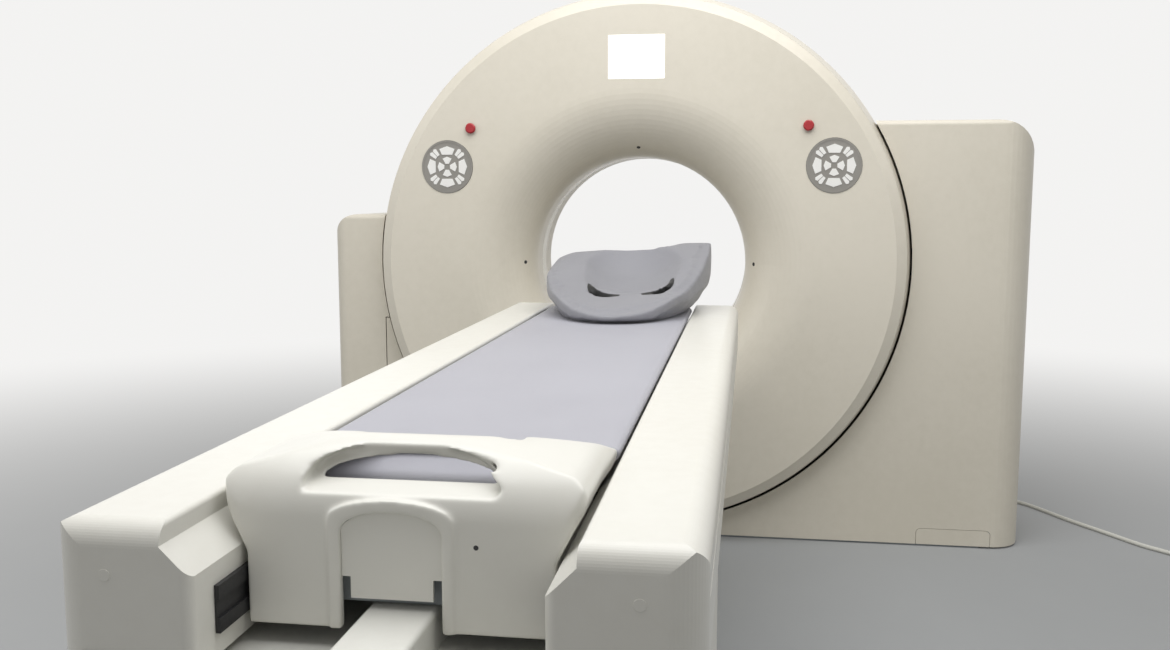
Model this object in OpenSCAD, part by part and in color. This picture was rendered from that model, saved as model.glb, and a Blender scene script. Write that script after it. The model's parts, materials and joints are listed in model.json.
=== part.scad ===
/* [Gantry housing] */
// Height of the scan axis above the floor
iso_h = 915; // [911:1:940]
// Radius of the round tilting housing
disc_r = 890; // [870:1:893]
// Running gap between the tilting housing and the fixed covers
disc_gap = 8; // [6:1:10]
// Distance of the front face from the scan plane
disc_front = 280; // [270:1:300]
// Distance of the rear face from the scan plane
disc_rear = 300; // [290:1:315]
// Radius of the flat part of the face
face_r = 818; // [812:1:826]
// Depth of the bevel between the face and the rim
bevel_d = 18; // [12:1:24]
// Radius where the funnel leaves the flat face
funnel_r = 560; // [540:1:580]
// Radius of the bore
bore_r = 350; // [335:1:356]
// Half length of the straight part of the bore
throat = 110; // [90:1:120]
// Half width of the scan window
window_half = 38; // [30:1:45]
// Wall of the moulded covers
cover_wall = 5; // [4:0.5:6]
// Width of the seams between covers
seam = 3; // [2:0.5:4]

/* [Gantry trim] */
// Width of the display
display_w = 176; // [150:1:200]
// Height of the display
display_h = 133; // [110:1:150]
// Height of the display centre above the scan axis
display_up = 657; // [645:1:670]
// Radius of a control panel
panel_r = 85; // [70:1:90]
// Sideways place of a control panel
panel_x = 619; // [600:1:630]
// Height of a control panel above the scan axis
panel_up = 315; // [300:1:330]
// Radius of an emergency stop button
estop_r = 16.5; // [12:0.5:20]
// Sideways place of an emergency stop button
estop_x = 538; // [520:1:550]
// Height of an emergency stop button above the scan axis
estop_up = 438; // [430:1:450]
// Height of an emergency stop button over the face
estop_h = 14; // [11:1:18]
// Travel of an emergency stop button
estop_press = 3.5; // [2.5:0.5:4]

/* [Fixed covers] */
// Distance of the fixed front panel from the scan plane
wing_front = 200; // [190:1:215]
// Distance of the fixed rear panel from the scan plane
wing_rear = 240; // [230:1:255]
// Outer side of the right wing
right_x = 1250; // [1220:1:1290]
// Height of the right wing
right_h = 1372; // [1340:1:1400]
// Corner radius of the right wing seen from the front
right_corner = 130; // [100:1:150]
// Radius of the right wing's upright front edge
right_edge = 100; // [70:1:110]
// Outer side of the left wing
left_x = 1048; // [1040:1:1080]
// Height of the left wing
left_h = 1073; // [1060:1:1100]
// Corner radius of the left wing seen from the front
left_corner = 85; // [50:1:100]
// Radius of the left wing's upright front edge
left_edge = 45; // [30:1:60]
// Inner side of the left wing, where the low panel starts
low_panel_x = 865; // [860:1:868]
// Clear height of the covers over the floor
floor_gap = 6; // [4:1:10]

/* [Gantry frame] */
// Thickness of the floor plate
plate_t = 12; // [8:1:12]
// Inner side of the uprights that carry the housing
stand_x = 925; // [915:1:935]
// Thickness of an upright
stand_t = 80; // [60:1:85]
// Radius of the trunnion shaft
shaft_r = 45; // [35:1:50]
// Radial thickness of a trunnion bearing
trunnion_ring = 28; // [20:1:32]
// Running clearance in slides and ball races
fit = 0.4; // [0.3:0.05:0.5]
// Radial running clearance of a shaft in its bearing
shaft_fit = 0.08; // [0.02:0.01:0.1]
// Hole radius of the gantry floor anchors
anchor_r = 9; // [6:0.5:11]
// Sideways spacing of the gantry floor anchors
anchor_dx = 1840; // [1800:5:1860]
// Front to rear spacing of the gantry floor anchors
anchor_dy = 320; // [280:5:330]

/* [Rotor] */
// Outer radius of the rotor plate
rotor_r = 790; // [760:1:794]
// Front of the rotor plate behind the scan plane
rotor_y = 50; // [45:1:55]
// Thickness of the rotor plate
rotor_t = 18; // [14:1:20]
// Inner radius of the rotor hub
hub_r = 385; // [380:1:388]
// Radial thickness of a bearing race
race_t = 16; // [14:1:18]
// Radius of a bearing ball
ball_r = 9; // [8:0.5:10]
// Count of bearing balls
ball_n = 36; // [24:2:48]
// Front of the stationary ring behind the scan plane
ring_y = 105; // [102:1:110]
// Thickness of the stationary ring
ring_t = 40; // [34:1:42]
// Radius of the drive sheave on the rotor
sheave_r = 620; // [600:1:640]
// Radius of the motor pulley
pulley_r = 45; // [35:1:48]
// Distance of the drive motor from the scan axis
motor_at = 740; // [725:1:745]
// Distance of the focal spot from the scan axis
focus_r = 560; // [550:1:570]
// Distance of the detector from the focal spot
detector_d = 980; // [960:1:1000]
// Half angle of the detector
fan_angle = 26; // [22:1:27]
// Count of detector modules
module_n = 18; // [12:2:24]

/* [Table] */
// Height of the table top with the table raised
table_h = 820; // [800:1:840]
// Half width over the arm covers
arm_out = 335; // [325:1:350]
// Half clear width between the arm covers, low down
arm_in = 179; // [177:1:182]
// Half clear width between the arm covers at the top
arm_top = 211; // [210.5:0.5:214]
// Height of an arm cover
arm_h = 155; // [152:1:160]
// Distance of the foot end of the arms from the scan plane
foot_y = 2810; // [2800:1:2820]
// Distance of the gantry end of the arms from the scan plane
head_y = 580; // [560:1:620]
// Wall of the arm covers
arm_wall = 4; // [3:0.5:5]
// Travel of the table from raised to lowered
lift_travel = 330; // [300:1:340]
// Half width of the centre rail
rail_half = 39; // [34:1:45]
// Height of the centre rail over the deck
rail_h = 45; // [38:1:48]
// Length of the centre rail past the arms
rail_out = 60; // [40:1:90]

/* [Tabletop] */
// Length of the tabletop
top_len = 2035; // [1980:5:2040]
// Half width of the tabletop
top_half = 194; // [188:1:196]
// Depth of the tabletop
top_depth = 55; // [45:1:57]
// Thickness of the mattress
pad_t = 25; // [20:1:28]
// Half width of the mattress
pad_half = 209; // [204:1:209]
// Length of the carriage under the tabletop
carriage_len = 390; // [385:1:400]
// Half width of the end cover's lip
lip_half = 203; // [200:1:204]
// Half width of the end cover's lower part
skirt_half = 172; // [168:1:173]
// Length of the end cover along the table
end_len = 280; // [270:1:285]
// Distance of the end cover's face from the foot end of the arms
end_in = 110; // [105:1:115]
// Wall of the end cover
end_wall = 5; // [4:0.5:6]
// Half width of the hand hold
hold_half = 97; // [90:1:105]
// Height of the hand hold's opening
hold_d = 34; // [30:1:34]

/* [Pedestal] */
// Thickness of the table's floor plate
base_t = 20; // [15:1:25]
// Distance of the pedestal's gantry side from the scan plane
pedestal_y = 2270; // [2240:1:2290]
// Length of the pedestal
pedestal_len = 475; // [450:1:490]
// Half width of the pedestal
pedestal_half = 330; // [318:1:332]
// Corner radius of the pedestal
pedestal_corner = 30; // [20:1:40]
// Wall of the pedestal covers
pedestal_wall = 3; // [2.5:0.5:4]
// Half width of the lifting column
column_half = 150; // [130:1:170]
// Half length of the lifting column
column_half_y = 130; // [110:1:150]
// Wall of the lifting column
column_wall = 6; // [5:0.5:8]
// Hole radius of the table floor anchors
table_anchor_r = 8; // [6:0.5:10]

/* [Hidden] */
$fn = 96;

// Tones as the photograph shows them
SHELL = [0.84, 0.82, 0.77];
TABLE = [0.93, 0.93, 0.91];
PAD = [0.78, 0.78, 0.81];
DARK = [0.12, 0.12, 0.13];
STEEL = [0.62, 0.63, 0.65];
GREY = [0.59, 0.58, 0.55];

eps = 0.3;
seat = 0.3;
cavity_r = disc_r + disc_gap;
inner_r = disc_r - cover_wall;
split_y = 20;
arm_bottom = table_h - arm_h;
deck_z = arm_bottom - 10;
deck_t = 10;
frame_z = deck_z - 40;
top_z = table_h - 23;
under_z = top_z - top_depth;
end_face = foot_y - end_in;
top_foot = end_face - 65;
tuck_half = skirt_half + 3;
race_in = hub_r + 15;
pitch_r = race_in + race_t + ball_r + fit - 2;
race_out = 2 * pitch_r - race_in;
stage_travel = lift_travel / 2;
stage_h = frame_z - lift_travel - base_t - 4;
column_y = -(pedestal_y + pedestal_len / 2);
cover_h = frame_z - lift_travel - base_t - 7;
rim_rear = disc_rear - bevel_d;
rim_front = disc_front - bevel_d;
sheave_y = rotor_y + rotor_t;

// The floor cable's route, by hand: gland, floor, round the wing and out past the photograph
cable_r = 7;
cable_route = [
  [1150, 246, 62], [1150, 268, 62], [1151, 290, 59], [1158, 314, 45], [1172, 342, 24], [1198, 370, 10],
  [1240, 388, 7.5], [1290, 388, 7.5], [1340, 370, 7.5], [1382, 332, 7.5], [1424, 262, 7.5],
  [1466, 180, 7.5], [1510, 103, 7.5], [1555, 32, 7.5], [1600, -42, 7.5], [1642, -110, 7.5],
  [1682, -155, 7.5], [1722, -199, 7.5], [1752, -230, 7.5], [1780, -258, 7.5]
];
coil_at = [1854.5, -183.5];
coil_out = 98;
coil_in = 70;

// A point of the smooth curve through the route, a part t of the way after point i
function along_route(i, t) = let (
    n = len(cable_route) - 1,
    a = cable_route[max(i - 1, 0)], b = cable_route[i], c = cable_route[i + 1], d = cable_route[min(i + 2, n)]
  ) b + (c - a) * t / 2 + (2 * a - 5 * b + 4 * c - d) * t * t / 2 + (3 * b - a - 3 * c + d) * t * t * t / 2;
cable_path = concat(
  [for (i = [0:len(cable_route) - 2], t = [0, 0.5]) along_route(i, t)],
  [cable_route[len(cable_route) - 1]]
);

// Points of a quarter round about a centre, anticlockwise from the start angle
function quarter(cx, cy, r, start, n = 10) =
  r <= 0 ? [[cx, cy]] :
  [for (i = [0:n]) [cx + r * cos(start + 90 * i / n), cy + r * sin(start + 90 * i / n)]];

// Outline of a rectangle with its own radius at each corner: low left, low right, high right, high left
function round_rect(x0, y0, x1, y1, r, n = 10) = concat(
  quarter(x0 + r[0], y0 + r[0], r[0], 180, n),
  quarter(x1 - r[1], y0 + r[1], r[1], 270, n),
  quarter(x1 - r[2], y1 - r[2], r[2], 0, n),
  quarter(x0 + r[3], y1 - r[3], r[3], 90, n)
);

// Radius of a sphere's slice at a distance from its centre
function slice(r, y) = sqrt(r * r - y * y);

// Carries a shape drawn about Z to the scan axis, with Z along +Y
module about_axis() {
  translate([0, 0, iso_h]) rotate([-90, 0, 0]) children();
}

// Extrudes an outline drawn as X and Z along Y
module along_y(y0, y1) {
  translate([0, y1, 0]) rotate([90, 0, 0]) linear_extrude(y1 - y0) children();
}

// Extrudes an outline drawn as Y and Z along X
module along_x(x0, x1) {
  translate([x0, 0, 0]) rotate([90, 0, 90]) linear_extrude(x1 - x0) children();
}

// A plain box from two corners
module box(a, b) {
  translate(a) cube([b[0] - a[0], b[1] - a[1], b[2] - a[2]]);
}

// A round bar along X
module bar_x(x0, x1, y, z, r) {
  translate([x0, y, z]) rotate([0, 90, 0]) cylinder(h = x1 - x0, r = r);
}

// A ring about the scan axis between two places along it
module ring(r0, r1, y0, y1) {
  about_axis() translate([0, 0, y0]) difference() {
    cylinder(h = y1 - y0, r = r1, $fn = 180);
    translate([0, 0, -1]) cylinder(h = y1 - y0 + 2, r = r0, $fn = 180);
  }
}

// A ball about the isocentre
module iso_ball(r) {
  translate([0, 0, iso_h]) sphere(r, $fn = 180);
}

// Section of a disc cover: straight throat, funnel, flat face and bevel
function funnel(inset, reach, n = 20) = [
  for (i = [0:n]) [
    funnel_r - (funnel_r - bore_r - inset) * cos(90 * i / n),
    throat + (reach - throat - inset) * sin(90 * i / n)
  ]
];
function disc_section(reach) = concat(
  [[bore_r, window_half + 0.5]],
  funnel(0, reach),
  [[face_r, reach], [slice(disc_r, reach - bevel_d), reach - bevel_d]],
  [[slice(disc_r, reach - bevel_d) - cover_wall, reach - bevel_d]],
  [[face_r - cover_wall / 2, reach - cover_wall]],
  [for (i = [20:-1:0]) funnel(cover_wall, reach)[i]],
  [[bore_r + cover_wall, window_half + 0.5]]
);

module disc_cover(reach) {
  about_axis() rotate_extrude($fn = 180) polygon(disc_section(reach));
}

// Places one thing on each side of the scan axis, on the front face
module on_face(x, up) {
  for (side = [-1, 1]) translate([side * x, -disc_front, iso_h + up]) rotate([-90, 0, 0]) children();
}

laser_y = 194;
laser_r = funnel_r - (funnel_r - bore_r) * sqrt(1 - pow((laser_y - throat) / (disc_front - throat), 2));
module laser_spots(r, from, to) {
  for (a = [0, 90, 180]) about_axis() rotate([0, 0, -a]) translate([laser_r, 0, -laser_y])
    rotate([0, 52, 0]) translate([0, 0, from]) cylinder(h = to - from, r = r, $fn = 32);
}

module front_disc_cover() {
  color(SHELL) difference() {
    mirror([0, 1, 0]) disc_cover(disc_front);
    on_face(panel_x, panel_up) translate([0, 0, -1]) cylinder(h = cover_wall + 2, r = panel_r + 1);
    on_face(estop_x, estop_up) translate([0, 0, -1]) cylinder(h = cover_wall + 2, r = 9);
    box([-display_w / 2 - 1.5, -disc_front - 1, iso_h + display_up - display_h / 2 - 1.5],
      [display_w / 2 + 1.5, -disc_front + cover_wall + 1, iso_h + display_up + display_h / 2 + 1.5]);
    laser_spots(6.5, -12, 14);
  }
}

module rear_disc_cover() {
  color(SHELL) disc_cover(disc_rear);
}

// Half of the ball-shaped rim between the two disc covers
module rim_half(side) {
  difference() {
    iso_ball(disc_r);
    iso_ball(inner_r);
    box([-disc_r - 1, -disc_r - 1, 0], [disc_r + 1, -rim_front + seam, iso_h + disc_r + 1]);
    box([-disc_r - 1, rim_rear - seam, 0], [disc_r + 1, disc_r + 1, iso_h + disc_r + 1]);
    bar_x(-disc_r, disc_r, 0, iso_h, shaft_r + 15);
    translate([side > 0 ? -disc_r - 1 : -1, -disc_r, 0]) cube([disc_r + 2, 2 * disc_r, iso_h + disc_r + 1]);
  }
}

module rim_cover_left() {
  color(SHELL) rim_half(-1);
}

module rim_cover_right() {
  color(SHELL) rim_half(1);
}

module scan_window() {
  color([0.9, 0.88, 0.82]) ring(bore_r, bore_r + 3, -window_half, window_half);
}

module gantry_display() {
  color([0.96, 0.97, 0.98]) union() {
    box([-display_w / 2, -disc_front + 0.6, iso_h + display_up - display_h / 2],
      [display_w / 2, -disc_front + cover_wall + 0.2, iso_h + display_up + display_h / 2]);
    box([-display_w / 2 - 8, -disc_front + cover_wall + seat, iso_h + display_up - display_h / 2 - 8],
      [display_w / 2 + 8, -disc_front + cover_wall + 14, iso_h + display_up + display_h / 2 + 8]);
    box([-display_w / 2 + 1, -disc_front + cover_wall - 1, iso_h + display_up - display_h / 2 + 1],
      [display_w / 2 - 1, -disc_front + cover_wall + 2, iso_h + display_up + display_h / 2 - 1]);
  }
}

module control_panels() {
  color(GREY) on_face(panel_x, panel_up) difference() {
    union() {
      translate([0, 0, -2]) cylinder(h = cover_wall + 2, r = panel_r);
      translate([0, 0, cover_wall + seat]) cylinder(h = 12, r = panel_r - 6);
      translate([0, 0, cover_wall - 1]) cylinder(h = 3, r = panel_r - 12);
    }
    translate([0, 0, -3]) cylinder(h = 2.2, r = panel_r - 6);
  }
}

// A key of the round keypad: a slice of a ring with straight sides
module key(a0, a1, r0, r1) {
  linear_extrude(1.6) polygon([
    [r0 * cos(a0), r0 * sin(a0)], [r1 * cos(a0), r1 * sin(a0)],
    [r1 * cos((a0 + a1) / 2) * 1.06, r1 * sin((a0 + a1) / 2) * 1.06],
    [r1 * cos(a1), r1 * sin(a1)], [r0 * cos(a1), r0 * sin(a1)]
  ]);
}

module panel_keys() {
  color([0.93, 0.93, 0.92]) on_face(panel_x, panel_up) translate([0, 0, -2.4])
    for (q = [0:3]) rotate([0, 0, 90 * q]) {
      key(-24, 24, panel_r * 0.5, panel_r * 0.74);
      key(33, 44, panel_r * 0.54, panel_r * 0.8);
      key(46, 57, panel_r * 0.54, panel_r * 0.8);
      key(-30, 30, panel_r * 0.13, panel_r * 0.36);
    }
}

// A mushroom button with a stem that runs in the cover
module estop(side) {
  translate([side * estop_x, -disc_front, iso_h + estop_up]) rotate([90, 0, 0]) {
    translate([0, 0, -cover_wall - 6]) cylinder(h = cover_wall + 8 + estop_press, r = 9 - shaft_fit);
    translate([0, 0, estop_press + 2.5]) cylinder(h = estop_h - estop_press - 5.5, r = estop_r);
    translate([0, 0, estop_h - 3]) cylinder(h = 3, r1 = estop_r, r2 = estop_r - 3.5);
    translate([0, 0, estop_press + 0.5]) cylinder(h = 4, r = estop_r * 0.7);
  }
}

module estop_left() {
  color([0.66, 0.13, 0.15]) estop(-1);
}

module estop_right() {
  color([0.66, 0.13, 0.15]) estop(1);
}

module laser_modules() {
  color(DARK) {
    laser_spots(6.1, -0.2, 14);
    for (a = [0, 90, 180]) about_axis() rotate([0, 0, -a])
      translate([laser_r + 10, -20, -laser_y - 1]) cube([30, 40, 44]);
  }
}

// Outer form of a fixed cover, with its corner, upright edge and crown
module wing_form(x0, x1, z1, corner, edge, inset, flip) {
  x_out = x1 - inset;
  y_front = -wing_front + inset;
  y_rear = wing_rear - inset;
  mirror([flip, 0, 0]) intersection() {
    along_y(y_front, y_rear)
      polygon(round_rect(x0, floor_gap - (inset > 0 ? 1 : 0), x_out, z1 - inset, [0, 12, corner - inset, 0]));
    translate([0, 0, -1]) linear_extrude(z1 + 2)
      polygon(round_rect(x0, y_front, x_out, y_rear, [0, edge - inset, edge * 0.5 - inset / 2, 0]));
    along_x(x0, x1)
      polygon(round_rect(y_front, 0, y_rear, z1 - inset, [0, 0, 16 - inset / 2, 16 - inset / 2]));
  }
}

// Everything right of the low panel's left end: the right wing and the low strip under the disc
module right_form(inset) {
  difference() {
    wing_form(-low_panel_x - (inset > 0 ? 1 : 0), right_x, right_h, right_corner, right_edge, inset, 0);
    box([-low_panel_x - 2, -wing_front - 1, iso_h - 195 - inset],
      [0, wing_rear + 1, right_h + 1]);
  }
}

module left_form(inset) {
  union() {
    wing_form(low_panel_x + seam - (inset > 0 ? 1 : 0), left_x, left_h, left_corner, left_edge, inset, 1);
    intersection() {
      wing_form(low_panel_x - 30, left_x, left_h, left_corner, left_edge, inset, 1);
      box([-left_x, -wing_front, iso_h - 195 + seam + inset], [0, wing_rear, left_h]);
    }
  }
}

// A hollow fixed cover whose inner edge follows the tilting housing
module fixed_cover(side, y0, y1) {
  difference() {
    intersection() {
      if (side > 0) right_form(0); else left_form(0);
      box([-left_x - 1, y0, 0], [right_x + 1, y1, right_h + 1]);
    }
    iso_ball(cavity_r);
    difference() {
      if (side > 0) right_form(cover_wall); else left_form(cover_wall);
      intersection() {
        iso_ball(cavity_r + cover_wall);
        union() {
          box([-left_x, -wing_front, 0], [right_x, -wing_front + 45, right_h]);
          box([-left_x, wing_rear - 45, 0], [right_x, wing_rear, right_h]);
        }
      }
    }
  }
}

hatch_x = [918, 1149];
hatch_z = 58;
module hatch_outline(grow) {
  polygon(round_rect(hatch_x[0] - grow, floor_gap - (grow > 0 ? 4 : 0), hatch_x[1] + grow, hatch_z + grow,
    [3, 3, 14 + grow, 14 + grow]));
}

module front_cover_right() {
  color(SHELL) difference() {
    fixed_cover(1, -wing_front, split_y - seam / 2);
    along_y(-wing_front - 1, -wing_front + cover_wall + 1) hatch_outline(1.2);
  }
}

module front_cover_left() {
  color(SHELL) fixed_cover(-1, -wing_front, split_y - seam / 2);
}

module rear_cover_right() {
  color(SHELL) difference() {
    fixed_cover(1, split_y + seam / 2, wing_rear);
    translate([cable_route[0][0], wing_rear + 1, cable_route[0][2]]) rotate([90, 0, 0])
      cylinder(h = cover_wall + 3, r = 11);
  }
}

module rear_cover_left() {
  color(SHELL) fixed_cover(-1, split_y + seam / 2, wing_rear);
}

module service_hatch() {
  color(SHELL) union() {
    along_y(-wing_front, -wing_front + cover_wall) hatch_outline(0);
    box([hatch_x[0] - 12, -wing_front + cover_wall + seat, floor_gap + 12],
      [hatch_x[1] - 2, -wing_front + cover_wall + 2.5, hatch_z - 8]);
    box([hatch_x[0] + 8, -wing_front + cover_wall - 1, floor_gap + 14],
      [hatch_x[1] - 8, -wing_front + cover_wall + 1, hatch_z - 12]);
  }
}

// One upright of the gantry frame, drawn as Y and Z
module upright_outline() {
  difference() {
    union() {
      polygon([[-180, plate_t], [180, plate_t], [96, iso_h], [-96, iso_h]]);
      translate([0, iso_h]) circle(r = 100);
    }
    translate([0, iso_h]) circle(r = shaft_r + trunnion_ring + 0.05);
    polygon(round_rect(-95, 90, 95, 360, [20, 20, 20, 20]));
    polygon(round_rect(-72, 430, 72, 730, [20, 20, 20, 20]));
  }
}

module base_frame() {
  color(STEEL) union() {
    difference() {
      box([-left_x + cover_wall + 13, -wing_front + cover_wall + seat, 0],
        [right_x - cover_wall - seat - 20, wing_rear - cover_wall - seat, plate_t]);
      for (x = [-1, 1], y = [-1, 1])
        translate([x * anchor_dx / 2, y * anchor_dy / 2, -1])
          cylinder(h = plate_t + 2, r = anchor_r, $fn = 48);
      translate([right_x - 20, -wing_front, -1]) rotate([0, 0, 45])
        translate([-85, -85, 0]) cube([170, 170, plate_t + 2]);
      translate([right_x - 20, wing_rear, -1]) rotate([0, 0, 45])
        translate([-50, -50, 0]) cube([100, 100, plate_t + 2]);
      for (y = [-wing_front, wing_rear])
        translate([-left_x, y, -1]) rotate([0, 0, 45]) translate([-34, -34, 0]) cube([68, 68, plate_t + 2]);
    }
    for (x = [-stand_x - stand_t, stand_x]) along_x(x, x + stand_t) upright_outline();
  }
}

module trunnion_bearings() {
  color([0.45, 0.46, 0.48]) for (x = [-stand_x - stand_t + 10, stand_x + 10]) difference() {
    bar_x(x, x + stand_t - 20, 0, iso_h, shaft_r + trunnion_ring);
    bar_x(x - 1, x + stand_t - 19, 0, iso_h, shaft_r + shaft_fit);
  }
}

module tilt_gearmotor() {
  x0 = stand_x + stand_t;
  color([0.35, 0.38, 0.42]) difference() {
    union() {
      box([x0, -80, iso_h - 110], [x0 + 122, 80, iso_h + 80]);
      translate([x0 + 61, 0, iso_h - 380]) cylinder(h = 272, r = 58);
      translate([x0 + 61, 0, iso_h - 410]) cylinder(h = 32, r = 50);
    }
    bar_x(x0 - 1, x0 + 24, 0, iso_h, shaft_r + shaft_fit);
  }
}

module cable_gland() {
  c = cable_route[0];
  color([0.8, 0.8, 0.78]) translate([c[0], wing_rear + 23, c[2]]) rotate([90, 0, 0]) difference() {
    union() {
      cylinder(h = 23 - seat, r = 15, $fn = 6);
      cylinder(h = 23 + cover_wall, r = 10.5);
    }
    translate([0, 0, -1]) cylinder(h = 20, r = cable_r + seat);
  }
}

// Unit vector and sideways vector of the cable at one point of its route
function unit(v) = v / norm(v);
function heading(i) = let (n = len(cable_path) - 1)
  unit(cable_path[min(i + 1, n)] - cable_path[max(i - 1, 0)]);
function side_of(t) = abs(t[2]) > 0.95 ? [1, 0, 0] : unit(cross(t, [0, 0, 1]));

module floor_cable() {
  sides = 10;
  n = len(cable_path);
  points = [
    for (i = [0:n - 1]) let (t = heading(i), s = side_of(t), u = cross(s, t))
      for (k = [0:sides - 1]) cable_path[i] + cable_r * (s * cos(360 * k / sides) + u * sin(360 * k / sides))
  ];
  walls = [
    for (i = [0:n - 2]) for (k = [0:sides - 1]) let (a = i * sides + k, b = i * sides + (k + 1) % sides)
      [a, a + sides, b + sides, b]
  ];
  caps = [[for (k = [0:sides - 1]) k], [for (k = [sides - 1:-1:0]) (n - 1) * sides + k]];
  color([0.83, 0.83, 0.8]) polyhedron(points = points, faces = concat(walls, caps), convexity = 6);
}

module cable_coil() {
  color([0.83, 0.83, 0.8]) translate([coil_at[0], coil_at[1], 0.5]) rotate_extrude()
    translate([coil_in, 0]) square([coil_out - coil_in, 28]);
}

module cable_plug() {
  x = coil_at[0] + coil_out + eps;
  y = coil_at[1];
  color([0.83, 0.83, 0.8]) union() {
    bar_x(x, x + 26, y, 15, 8);
    bar_x(x + 24, x + 66, y, 19, 19);
    for (d = [-9.5, 9.5]) bar_x(x + 64, x + 86, y + d, 19, 2.4);
  }
}

plate_y = [-(pedestal_y + pedestal_len + 4), -1250];
module table_base() {
  color([0.8, 0.8, 0.78]) difference() {
    union() {
      box([-300, plate_y[0], 0], [300, plate_y[1], base_t]);
      box([-90, plate_y[1] - 1, 0], [90, -wing_front - seat, base_t - 4]);
    }
    for (x = [-1, 1], y = [-150, 150])
      translate([x * 255, -1760 + y * 2, -1]) cylinder(h = base_t + 2, r = table_anchor_r, $fn = 48);
  }
}

// A box tube standing on its end, by its half widths
module tube(hx, hy, wall, z0, z1, r = 0) {
  translate([0, column_y, z0]) difference() {
    linear_extrude(z1 - z0) polygon(round_rect(-hx, -hy, hx, hy, [r, r, r, r]));
    translate([0, 0, -1]) linear_extrude(z1 - z0 + 2)
      polygon(round_rect(-hx + wall, -hy + wall, hx - wall, hy - wall, [for (i = [0:3]) max(r - wall, 0)]));
  }
}

module column_stage(n, z0) {
  less = n * (column_wall + fit);
  tube(column_half - less, column_half_y - less, column_wall, z0, z0 + stage_h);
}

module pedestal_stage(n, z0, z1) {
  less = n * (pedestal_wall + fit + 0.2);
  tube(pedestal_half - less, pedestal_len / 2 - less, pedestal_wall, z0, z1, pedestal_corner - less);
}

module lift_column_outer() {
  color(STEEL) column_stage(0, base_t);
}

module lift_column_mid() {
  color(STEEL) column_stage(1, base_t + 2 + stage_travel);
}

module lift_column_inner() {
  color(STEEL) column_stage(2, frame_z - stage_h);
}

module pedestal_cover_lower() {
  color(TABLE) pedestal_stage(2, base_t, base_t + cover_h);
}

module pedestal_cover_mid() {
  color(TABLE) pedestal_stage(1, base_t + 3 + stage_travel, base_t + stage_travel + cover_h);
}

module pedestal_cover_upper() {
  color(TABLE) difference() {
    pedestal_stage(0, frame_z - cover_h, arm_bottom - seat);
    box([-beam_x[1] - seat, plate_y[0] - 10, frame_z - seat],
      [beam_x[1] + seat, -pedestal_y + 10, arm_bottom]);
  }
}

beam_x = [236, 296];
module table_frame() {
  y0 = -foot_y + 32;
  y1 = -head_y - 32;
  color([0.7, 0.71, 0.72]) union() {
    for (side = [0, 1]) mirror([side, 0, 0]) difference() {
      box([beam_x[0], y0, frame_z], [beam_x[1], y1, table_h - 42]);
      box([beam_x[0] + 5, y0 - 1, frame_z + 5], [beam_x[1] - 5, y1 + 1, table_h - 47]);
    }
    for (y = [y0 + 160:340:y1 - 100]) box([-beam_x[0], y, frame_z], [beam_x[0], y + 60, deck_z - deck_t]);
    box([-beam_x[0], column_y - column_half_y - 20, frame_z],
      [beam_x[0], column_y + column_half_y + 20, frame_z + 12]);
  }
}

roller_y = head_y + 72;
roller_r = 16;
roller_z = under_z - eps - roller_r;
module deck_plate() {
  y0 = -foot_y + 8;
  y1 = -head_y - 34;
  color(TABLE) difference() {
    union() {
      box([-beam_x[0] + 0.3, y0, deck_z - deck_t], [beam_x[0] - 0.3, y1, deck_z]);
      box([-beam_x[0] + 0.3, y0, frame_z], [beam_x[0] - 0.3, y0 + 8, deck_z - 1]);
      box([-beam_x[0] + 0.3, y1 - 6, frame_z], [beam_x[0] - 0.3, y1, deck_z - 1]);
      for (x = [-156, 146]) box([x, -roller_y - 16, deck_z - 1], [x + 10, -roller_y + 16, roller_z + 12]);
    }
    bar_x(-160, 160, -roller_y, roller_z, 6 + shaft_fit);
  }
}

module drive_roller() {
  color([0.2, 0.2, 0.21]) union() {
    bar_x(-140, 140, -roller_y, roller_z, roller_r);
    bar_x(-158, 158, -roller_y, roller_z, 6);
  }
}

module carriage_motor() {
  color([0.35, 0.38, 0.42]) difference() {
    union() {
      box([-arm_in + 6, -roller_y - 120, deck_z], [-160, -roller_y + 20, roller_z + 14]);
      bar_x(-161, 20, -roller_y - 90, deck_z + 28, 27.9);
    }
    bar_x(-168, -150, -roller_y, roller_z, 6 + shaft_fit);
  }
}

// Section of an arm cover, drawn as X and Z on the right side
function arm_section(i) = let (n = i > 0 ? 4 : 14, step = arm_top - arm_in, foot = step + 22.5) concat(
  [[arm_in + i, arm_bottom + i], [arm_in + i, table_h - foot + i / 2], [arm_top + i, table_h - 22.5 + i / 2]],
  [for (k = [n:-1:0]) [arm_top + 6 - (6 - i) * sin(90 * k / n), table_h - 6 + (6 - i) * cos(90 * k / n)]],
  [for (k = [0:n]) [arm_out - 28 + (28 - i) * sin(90 * k / n), table_h - 28 + (28 - i) * cos(90 * k / n)]],
  [for (k = [0:n]) [arm_out - 30 + (30 - i) * cos(90 * k / n), arm_bottom + 30 - (30 - i) * sin(90 * k / n)]]
);

// The arm cover's form, with soft edges at both ends
module arm_form(i) {
  n = i > 0 ? 4 : 14;
  intersection() {
    along_y(-foot_y + i, -head_y - i) polygon(arm_section(i));
    along_x(arm_in - 1, arm_out + 1)
      polygon(round_rect(-foot_y + i, arm_bottom + i, -head_y - i, table_h - i,
        [24 - i, 14 - i, 14 - i, 26 - i], n));
    linear_extrude(table_h + 1)
      polygon(round_rect(arm_in + i, -foot_y + i, arm_out - i, -head_y - i,
        [12 - i, 40 - i, 16 - i, 12 - i], n));
  }
}

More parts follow.
